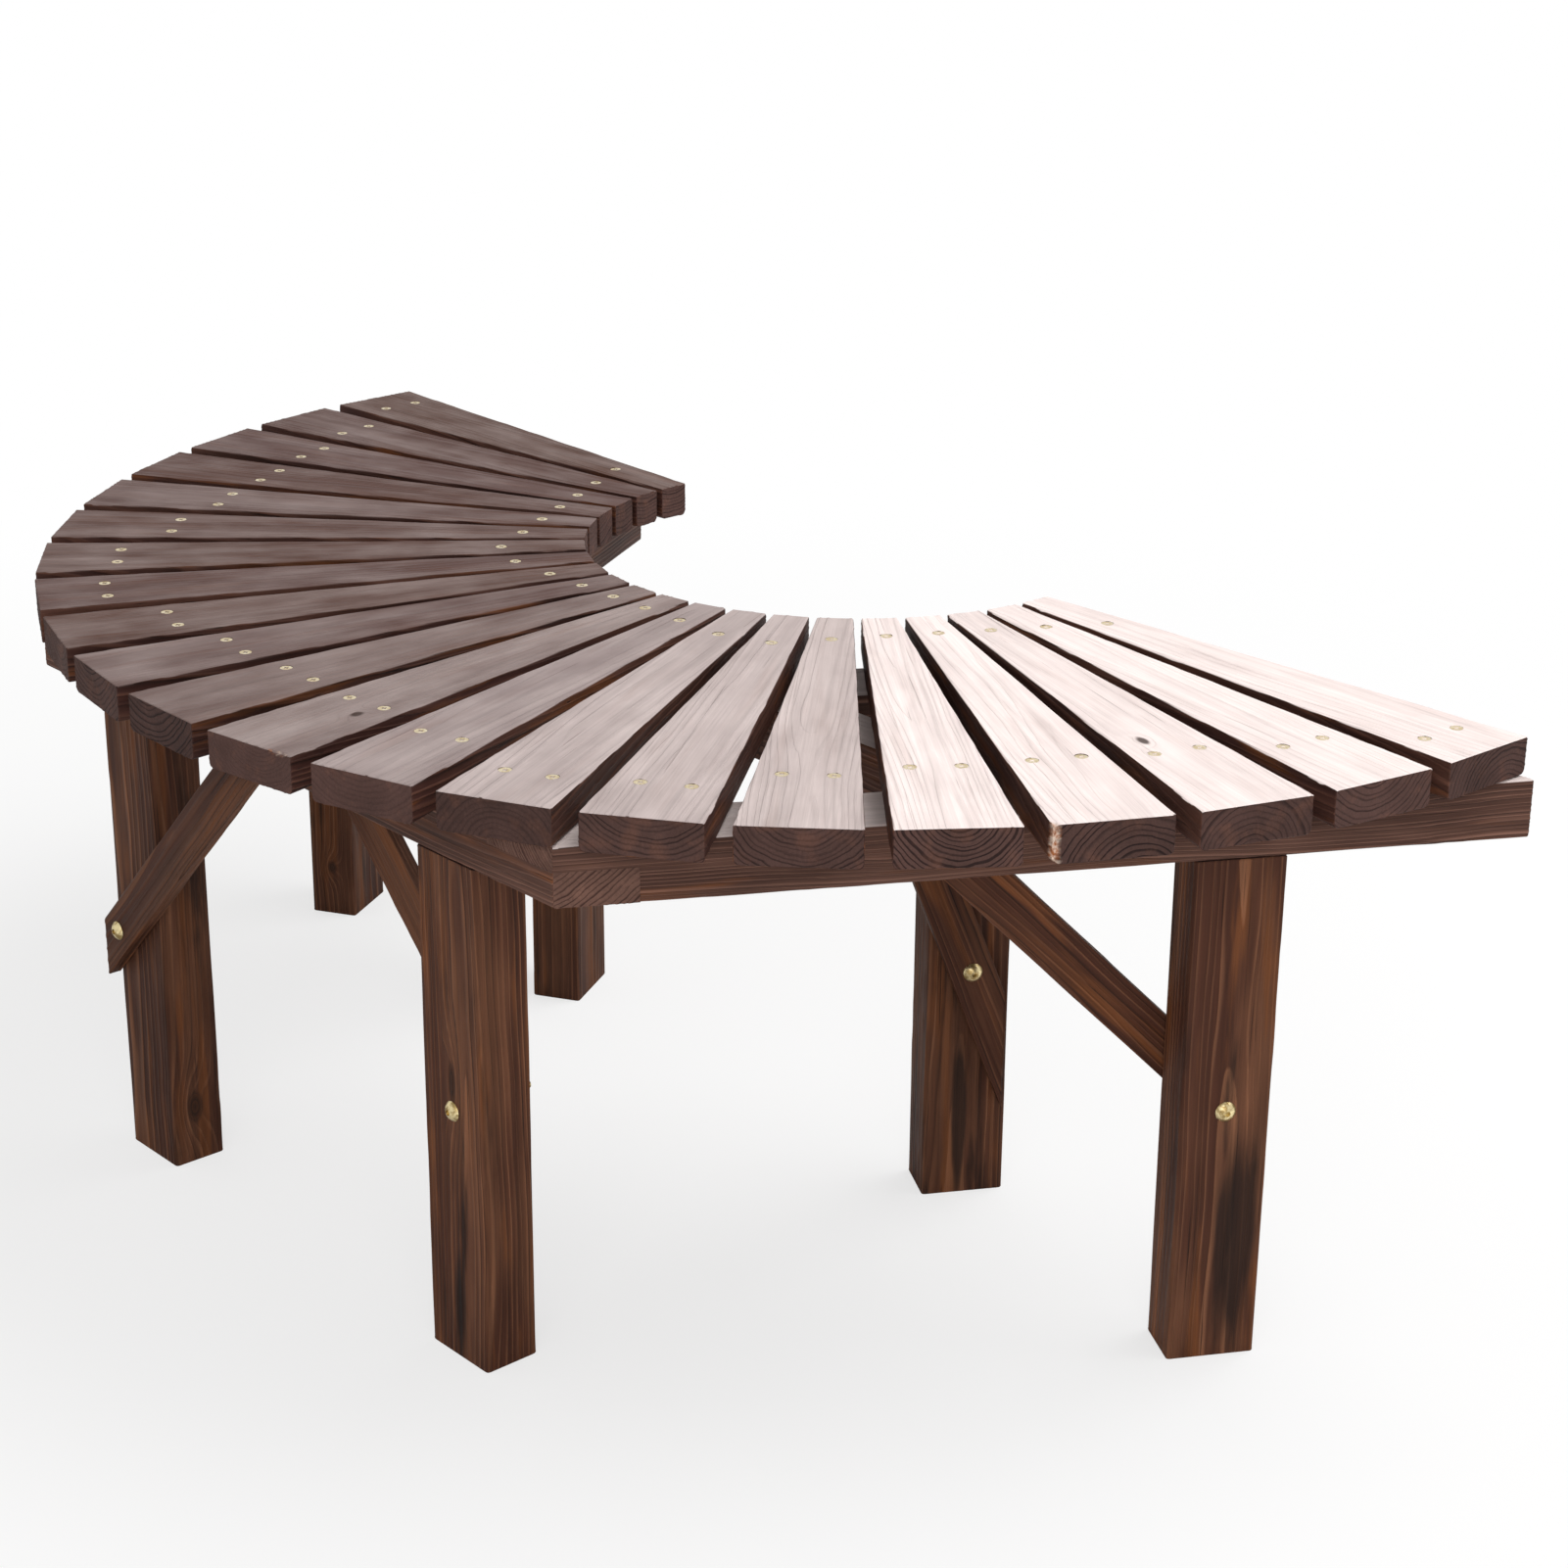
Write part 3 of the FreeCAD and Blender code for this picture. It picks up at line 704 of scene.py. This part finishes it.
def make_wood(name, settings):
    """One stained wood, with its own colours in the shared group."""
    material, tree, shader = new_material(name)
    group = tree.add("ShaderNodeGroup", node_tree=wood_group)
    for key, value in settings.items():
        group.inputs[key].default_value = value
    add_bump(tree, shader, group.outputs["Height"], 0.75, 0.0009)
    tree.put(shader.inputs["Base Color"], group.outputs["Color"])
    tree.put(shader.inputs["Roughness"], group.outputs["Roughness"])
    shader.inputs["Specular IOR Level"].default_value = 0.12
    return material


def make_zinc(name, bright, dull, scored):
    """Yellow zinc plating, a little uneven and dulled."""
    material, tree, shader = new_material(name)
    place = tree.add("ShaderNodeTexCoord").outputs["Object"]
    uneven = tree.noise(tree.vector("MULTIPLY", place, (260.0, 260.0, 260.0)), 3.0)
    scratch = tree.noise(tree.vector("MULTIPLY", place, (2600.0, 700.0, 900.0)), 3.0)
    tint = tree.mix_colour(tree.step(uneven, 0.38, 0.62), bright, dull)
    tint = tree.mix_colour(tree.step(scratch, 0.55, 0.75, 0.0, 0.6), tint, scored)
    tree.put(shader.inputs["Base Color"], tint)
    shader.inputs["Metallic"].default_value = 1.0
    tree.put(shader.inputs["Roughness"], tree.step(uneven, 0.2, 0.8, 0.22, 0.42))
    add_bump(tree, shader, scratch, 0.25, 0.0003)
    return material


wood_group = StainedSoftwood().build()
board_tree = make_board_tree()

dark_wood = {
    "Early Wood": colour(70, 40, 28), "Late Wood": colour(136, 92, 66), "Charred": colour(34, 22, 18),
    "Amber": colour(112, 66, 36), "End Grain": colour(80, 58, 53), "End Line": colour(42, 28, 26),
    # The bleached colour is near white: painted sunlight on the tops, over real weathering
    "Bleached": colour(247, 232, 228), "Sheltered": colour(84, 57, 45), "Greyed": colour(96, 75, 74),
}
slat_wood = make_wood("slat_timber", {**dark_wood, "Line Strength": 0.45, "Charred Share": 0.3,
                                      "Early Wood": colour(60, 36, 31), "Late Wood": colour(112, 76, 62)})
rail_wood = make_wood("rail_timber", {**dark_wood, "Line Strength": 0.75, "Charred Share": 0.25,
                                      "Early Wood": colour(70, 46, 38), "Late Wood": colour(134, 98, 84),
                                      "End Grain": colour(104, 76, 66), "End Line": colour(58, 38, 33)})
leg_wood = make_wood("leg_timber", {**dark_wood, "Line Strength": 0.7, "Charred Share": 0.6,
                                    "Weathering": 0.0})
brace_wood = make_wood("brace_timber", {**dark_wood, "Line Strength": 0.4, "Charred Share": 0.3,
                                        "Weathering": 0.1})
bolt_zinc = make_zinc("bolt_zinc", colour(240, 222, 172), colour(164, 140, 92), colour(104, 82, 50))
screw_zinc = make_zinc("screw_zinc", colour(248, 234, 200), colour(222, 202, 158), colour(176, 150, 104))

for node, thing in nodes.items():
    if any(word in node for word in ("screws", "bolts", "washers", "nuts")):
        thing.data.materials.clear()
        thing.data.materials.append(screw_zinc if "screws" in node else bolt_zinc)


# Cutters for a board's screw pockets and laps. Each is removed once its board is made.

def cutter_object(name, build):
    mesh = bpy.data.meshes.new(name)
    edit = bmesh.new()
    build(edit)
    edit.to_mesh(mesh)
    edit.free()
    thing = bpy.data.objects.new(name, mesh)
    bpy.context.scene.collection.objects.link(thing)
    return thing


def screw_heads(node):
    """The middle of each screw head in a node of upright screws."""
    head_reach = 0.012
    head_rise = 0.0002
    points = [v.co.copy() for v in nodes[node].data.vertices]
    top = max(p.z for p in points)
    heads = []
    for point in points:
        if point.z > top - head_rise:
            for head in heads:
                if (head[0] - point).length < head_reach:
                    head.append(point)
                    break
            else:
                heads.append([point])
    return [sum(corners(head), Vector()) / 2 for head in heads]


slat_screw_heads = screw_heads("slat_screws_outer") + screw_heads("slat_screws_inner")


def pocket_cutter(lie, along, across):
    """Shallow pockets round the screw heads of one slat."""
    beside = 0.03
    height = 0.01

    def build(edit):
        for head in slat_screw_heads:
            offset = head - lie.place
            if abs(offset.dot(across)) < beside and 0 < abs(offset.dot(along)) < lie.size.x / 2:
                middle = Matrix.Translation(head + Vector((0, 0, height / 2 - pocket_depth)))
                bmesh.ops.create_cone(edit, cap_ends=True, segments=20, radius1=pocket_radius,
                                      radius2=pocket_radius, depth=height, matrix=middle)
    return cutter_object("pockets", build)


# Slats, from the right-hand end to the left

# Slat 4's pale patch at its end runs up the whole side: painted sunlight on that side, over a shallow torn
# chip
chips_and_sunlit_patch = {4: (Vector((0.215, -0.0405, 0.0)), Vector((0.009, 0.007, 0.03))),
         10: (Vector((0.215, 0.028, 0.0135)), Vector((0.004, 0.012, 0.002)))}
slat_knots = {3: (Vector((0.085, -0.012, 0.014)), Vector((0.012, 0.006, 0.02))),
              10: (Vector((0.128, 0.012, 0.014)), Vector((0.009, 0.006, 0.02)))}
# How clearly each slat's end shows its rings, where that isn't 1
end_figures = {4: 1.4, 5: 1.7, 8: 0.45, 9: 0.2, 10: 0.12, 13: 0.4, 17: 0.3}
slat_tones = {3: 0.95, 4: 0.9, 5: 1.12, 6: 0.98, 7: 0.98, 8: 0.76, 9: 1.06, 10: 1.0, 11: 0.76}
# How far each top is bleached, with painted sunlight: nearly white on the right, still dark on the left as
# painted shade
top_bleach_and_sun = {1: 0.94, 2: 0.95, 3: 0.95, 4: 0.96, 5: 0.95, 6: 0.54, 7: 0.5, 8: 0.46, 9: 0.27, 10: 0.2,
            11: 0.13}
# How grey each top is: weathering, and painted sheen
greys = {6: 0.8, 7: 1.0, 8: 1.0, 9: 0.95, 10: 0.5, 11: 0.4}


def slat_growth(number):
    """Each slat's own seed, ring spacing and place of the pith, most often above the board."""
    pith_side = 1 if fixed_random(number, 4) > 0.25 else -1
    return (number * 1.7, 0.0030 + 0.0020 * fixed_random(number, 1),
            0.045 * (fixed_random(number, 2) - 0.5),
            (0.022 + 0.03 * fixed_random(number, 3)) * pith_side)


for number in range(1, slat_count + 1):
    turn = ((slat_count + 1) / 2 - number) * slat_pitch
    along, across = turned((0, -1, 0), turn), turned((1, 0, 0), turn)
    node = "slat_%02d" % number
    lie = Lie(node, along, across)
    cutter = pocket_cutter(lie, along, across)
    chip, chip_size = chips_and_sunlit_patch.get(number, (nowhere, small_chip))
    knot, knot_size = slat_knots.get(number, (nowhere, small_knot))
    make_board("board_" + node, node, lie, (slat_bottom_radius, slat_top_radius), slat_wood, "slat_timber",
               slat_growth(number), tapered=True, cutter=cutter, chip=chip, chip_size=chip_size,
               knot=knot, knot_size=knot_size, figure=end_figures.get(number, 1.0),
               bleach=top_bleach_and_sun.get(number, 0.02 + 0.08 * fixed_random(number, 5)),
               tone=slat_tones.get(number, 0.85 + 0.3 * fixed_random(number, 6)),
               grey=greys.get(number, 0.6 * fixed_random(number, 7)))
    bpy.data.objects.remove(cutter)


# Rails, with their laps cut

rail_growth = {
    "rail_outer_middle": (41.0, 0.0032, -0.16, 0.16), "rail_outer_left": (42.0, 0.0026, -0.07, 0.05),
    "rail_outer_right": (43.0, 0.0024, -0.075, 0.055), "rail_inner_left": (44.0, 0.0028, 0.05, -0.05),
    "rail_inner_right": (45.0, 0.0028, 0.06, 0.05), "cross_rail": (46.0, 0.0028, 0.055, -0.05),
}
# The inner rails and the cross rail are darker: painted shade under the seat
rail_tone_and_shade = {"rail_inner_left": 0.85, "rail_inner_right": 0.85, "cross_rail": 0.9}
# Rail tops paler on the right-hand rails: weathering, and painted sunlight; the rest keep a low share as
# painted shade
rail_bleach_and_sun = {"rail_outer_right": 0.7, "rail_inner_right": 0.6, "cross_rail": 0.5}
shaded_rail_bleach = 0.2


def lap_cutter(blocks):
    """Blocks to cut away, each (third, low corner, high corner, slant) seen from the middle third.
    A slant moves the block sideways as it comes forward from the outer rail's back."""
    def build(edit):
        for side, low, high, slant in blocks:
            there = (Matrix.Translation(seat_centre)
                     @ Matrix.Rotation(math.radians(third_turn[side]), 4, "Z"))
            for vertex in bmesh.ops.create_cube(edit, size=1.0)["verts"]:
                place = (low + high) / 2 + Matrix.Diagonal(high - low) @ vertex.co
                place.x += slant * (place.y + outer_back)
                vertex.co = there @ place
    return cutter_object("laps", build)


def node_reach(node, side):
    """Least and greatest reach of a rail from the seat's centre, and its underside and top."""
    outward = turned((0, -1, 0), third_turn[side])
    reaches = [(v.co - seat_centre).dot(outward) for v in nodes[node].data.vertices]
    low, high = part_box(node)
    return min(reaches), max(reaches), low.z, high.z


far = 1.0
outer_back, outer_front, rail_low, rail_high = node_reach("rail_outer_middle", "middle")
inner_back, inner_front = node_reach("rail_inner_right", "right")[:2]
cross_back = node_reach("cross_rail", "middle")[0]
lap_level = (rail_high + rail_low) / 2
tongue_back = outer_front - tongue_width
tongue_level = rail_low + tongue_height


def rail_turn(node):
    return next((turn for side, turn in third_turn.items() if node.endswith(side)), 0.0)


def beyond(reach, side, low, high, to=far):
    """All that lies further out than a reach in one third, between two levels."""
    return side, Vector((-far, -to, low)), Vector((far, -reach, high)), 0.0


def behind_tongue(sign):
    """What the middle rail loses behind one of its two tongues."""
    slope = math.tan(math.radians(third_turn["right"] / 2))
    near, away = sign * outer_back * slope, sign * far
    low = Vector((min(near, away), -tongue_back, -far))
    return "middle", low, Vector((max(near, away), 0, tongue_level)), sign * slope


laps = {
    "rail_outer_middle": [beyond(outer_back, "left", tongue_level, far),
                          beyond(outer_back, "right", tongue_level, far),
                          behind_tongue(-1), behind_tongue(1)],
    "rail_outer_left": [beyond(tongue_back, "middle", -far, tongue_level)],
    "rail_outer_right": [beyond(tongue_back, "middle", -far, tongue_level)],
    "rail_inner_left": [beyond(cross_back, "middle", -far, lap_level)],
    "rail_inner_right": [beyond(cross_back, "middle", -far, lap_level)],
    "cross_rail": [beyond(inner_back, "left", lap_level, far, inner_front),
                   beyond(inner_back, "right", lap_level, far, inner_front)],
}

for node, growth in rail_growth.items():
    turn = rail_turn(node)
    lie = Lie(node, turned((1, 0, 0), turn), turned((0, 1, 0), turn))
    cutter = lap_cutter(laps[node])
    radius = cross_rail_edge_radius if node == "cross_rail" else rail_edge_radius
    wide = {}
    if node == "rail_outer_middle":
        # Its back edge, cut off by the laps, still starts and ends where the two corners meet it
        corner = math.radians(third_turn["right"])
        back_end = (outer_front - outer_back * math.cos(corner)) / math.sin(corner)
        wide = {"high_start": -back_end, "high_end": back_end, "crossing_cuts": True}
    make_board("board_" + node, node, lie, (radius, radius), rail_wood, "rail_timber", growth,
               cutter=cutter, bleach=rail_bleach_and_sun.get(node, shaded_rail_bleach),
               tone=rail_tone_and_shade.get(node, 1.0), **wide)
    bpy.data.objects.remove(cutter)


# Legs

leg_growth = {
    "outer_middle_right": (61.0, 0.0042, 0.012, -0.030), "outer_middle_left": (62.0, 0.0044, -0.02, -0.045),
    "outer_end_right": (63.0, 0.0042, 0.004, -0.034), "outer_end_left": (64.0, 0.0042, 0.02, -0.04),
    "inner_right": (65.0, 0.0044, -0.006, -0.05), "inner_left": (66.0, 0.0042, 0.015, 0.05),
}
# Lower tones on the inner legs and the left-hand legs are painted shade from under the seat, besides tone
# that differs from leg to leg
leg_tone_and_shade = {"outer_middle_right": 1.0, "outer_middle_left": 0.85, "outer_end_right": 1.02,
             "outer_end_left": 0.78, "inner_right": 0.8, "inner_left": 0.74}
leg_knots = {"outer_middle_right": (Vector((0.024, 0.0, -0.022)), Vector((0.026, 0.0065, 0.02))),
             "outer_middle_left": (Vector((-0.143, 0.0325, -0.002)), Vector((0.022, 0.02, 0.012))),
             "outer_end_left": (Vector((-0.143, 0.0325, 0.0)), Vector((0.010, 0.02, 0.007)))}
leg_scorches = {"outer_end_right": (Vector((-0.098, 0.012, -0.022)), Vector((0.105, 0.018, 0.04))),
                "outer_middle_right": (Vector((-0.150, 0.002, -0.022)), Vector((0.055, 0.008, 0.03))),
                "inner_right": (Vector((-0.12, -0.004, -0.022)), Vector((0.075, 0.008, 0.03)))}
leg_end_wear = 0.0005


def leg_turn(name):
    """The middle legs stand square to the front, the others to their own third."""
    return 0.0 if "middle" in name else third_turn[name.split("_")[-1]]


for name, growth in leg_growth.items():
    lie = Lie("leg_" + name, Vector((0, 0, 1)), turned((1, 0, 0), leg_turn(name)))
    knot, knot_size = leg_knots.get(name, (nowhere, small_knot))
    scorch, scorch_size = leg_scorches.get(name, (nowhere, small_knot))
    make_board("board_leg_" + name, "leg_" + name, lie, (leg_edge_radius, leg_edge_radius), leg_wood,
               "leg_timber", growth, knot=knot, knot_size=knot_size, tone=leg_tone_and_shade[name],
               end_wear=leg_end_wear, flat_ends=1.0, scorch=scorch, scorch_size=scorch_size)


# Braces

brace_growth = {
    "outer_middle_right": (81.0, 0.0030, 0.03, -0.03), "outer_middle_left": (82.0, 0.0034, 0.03, -0.03),
    "outer_end_right": (83.0, 0.0032, -0.03, 0.03), "outer_end_left": (84.0, 0.0034, 0.03, 0.03),
    "inner_right": (85.0, 0.0034, 0.03, -0.04), "inner_left": (86.0, 0.0036, -0.03, 0.03),
}

for name, growth in brace_growth.items():
    lean = -1 if name.endswith("right") else 1
    rise = math.radians(inner_brace_angle if name.startswith("inner") else brace_angle)
    along = turned((lean * math.cos(rise), 0, math.sin(rise)), leg_turn(name))
    across = turned((-lean * math.sin(rise), 0, math.cos(rise)), leg_turn(name))
    lie = Lie("brace_" + name, along, across)
    # Braces take their leg's tone, with its painted shade
    make_board("board_brace_" + name, "brace_" + name, lie, (brace_edge_radius, brace_edge_radius),
               brace_wood, "brace_timber", growth, tone=leg_tone_and_shade[name])


# Floor, light and camera

floor_reach = 14.0
floor_grey = (0.93, 0.93, 0.93, 1.0)
shadow_reach = (0.7, 2.0)       # the floor turns from shaded to plain white between these
shaded_white = 0.68             # how white it is already near the bench
world_tint = (1.0, 0.99, 0.98, 1.0)
world_light = 0.55


def make_floor():
    """A pale floor that keeps the shadow and turns white further out."""
    mesh = bpy.data.meshes.new("floor")
    mesh.from_pydata([(x * floor_reach, y * floor_reach, 0) for x, y in ((-1, -1), (1, -1), (1, 1), (-1, 1))],
                     [], [(0, 1, 2, 3)])
    floor = bpy.data.objects.new("floor", mesh)
    bpy.context.scene.collection.objects.link(floor)
    material, tree, shader = new_material("pale_floor")
    shader.inputs["Base Color"].default_value = floor_grey
    shader.inputs["Roughness"].default_value = 0.9
    shader.inputs["Specular IOR Level"].default_value = 0.1
    white = tree.add("ShaderNodeEmission")
    reach = tree.vector("LENGTH", tree.add("ShaderNodeTexCoord").outputs["Object"])
    share = tree.math("MULTIPLY", tree.step(reach, *shadow_reach, shaded_white, 1.0),
                      tree.add("ShaderNodeLightPath").outputs["Is Camera Ray"])
    choice = tree.add("ShaderNodeMixShader")
    tree.put(choice.inputs[0], share)
    tree.put(choice.inputs[1], shader.outputs[0])
    tree.put(choice.inputs[2], white.outputs[0])
    tree.put(material.node_tree.nodes["Material Output"].inputs["Surface"], choice.outputs[0])
    mesh.materials.append(material)


def make_world():
    """Plain soft light, with white seen behind the bench and in its metal."""
    world = bpy.data.worlds.new("studio")
    bpy.context.scene.world = world
    world.use_nodes = True
    tree = Tree(world.node_tree)
    path = tree.add("ShaderNodeLightPath")
    seen = tree.math("MAXIMUM", path.outputs["Is Camera Ray"], path.outputs["Is Transmission Ray"])
    seen = tree.math("MAXIMUM", seen, path.outputs["Is Glossy Ray"])
    light = world.node_tree.nodes["Background"]
    light.inputs["Color"].default_value = world_tint
    light.inputs["Strength"].default_value = world_light
    white = tree.add("ShaderNodeBackground")
    white.inputs["Strength"].default_value = 1.0
    choice = tree.add("ShaderNodeMixShader")
    tree.put(choice.inputs[0], seen)
    tree.put(choice.inputs[1], light.outputs[0])
    tree.put(choice.inputs[2], white.outputs[0])
    tree.put(world.node_tree.nodes["World Output"].inputs["Surface"], choice.outputs[0])


def make_lamp(name, place, target, size, power):
    data = bpy.data.lights.new(name, "AREA")
    data.size = size
    data.energy = power
    lamp = bpy.data.objects.new(name, data)
    lamp.location = place
    lamp.rotation_euler = (Vector(target) - Vector(place)).to_track_quat("-Z", "Y").to_euler()
    bpy.context.scene.collection.objects.link(lamp)


def make_camera():
    heading, dip, roll = (math.radians(a) for a in (camera_heading, camera_dip, camera_roll))
    forward = Vector((math.sin(heading) * math.cos(dip), math.cos(heading) * math.cos(dip), -math.sin(dip)))
    level = forward.cross(Vector((0, 0, 1))).normalized()
    upright = level.cross(forward)
    right = math.cos(roll) * level + math.sin(roll) * upright
    up = -math.sin(roll) * level + math.cos(roll) * upright
    data = bpy.data.cameras.new("camera")
    data.sensor_width = sensor_width
    data.lens = focal_pixels * sensor_width / photo_width
    camera = bpy.data.objects.new("camera", data)
    axes = Matrix((right, up, -forward)).transposed().to_4x4()
    camera.matrix_world = Matrix.Translation(camera_place) @ axes
    bpy.context.scene.collection.objects.link(camera)
    bpy.context.scene.camera = camera


make_floor()
make_world()
make_lamp("key", place=(0.9, 1.6, 3.2), target=(0, 0, 0.4), size=2.4, power=72.0)
make_lamp("fill", place=(2.6, -2.2, 1.8), target=(0, 0, 0.3), size=2.5, power=38.0)
make_camera()
bpy.context.scene.view_settings.view_transform = "Standard"
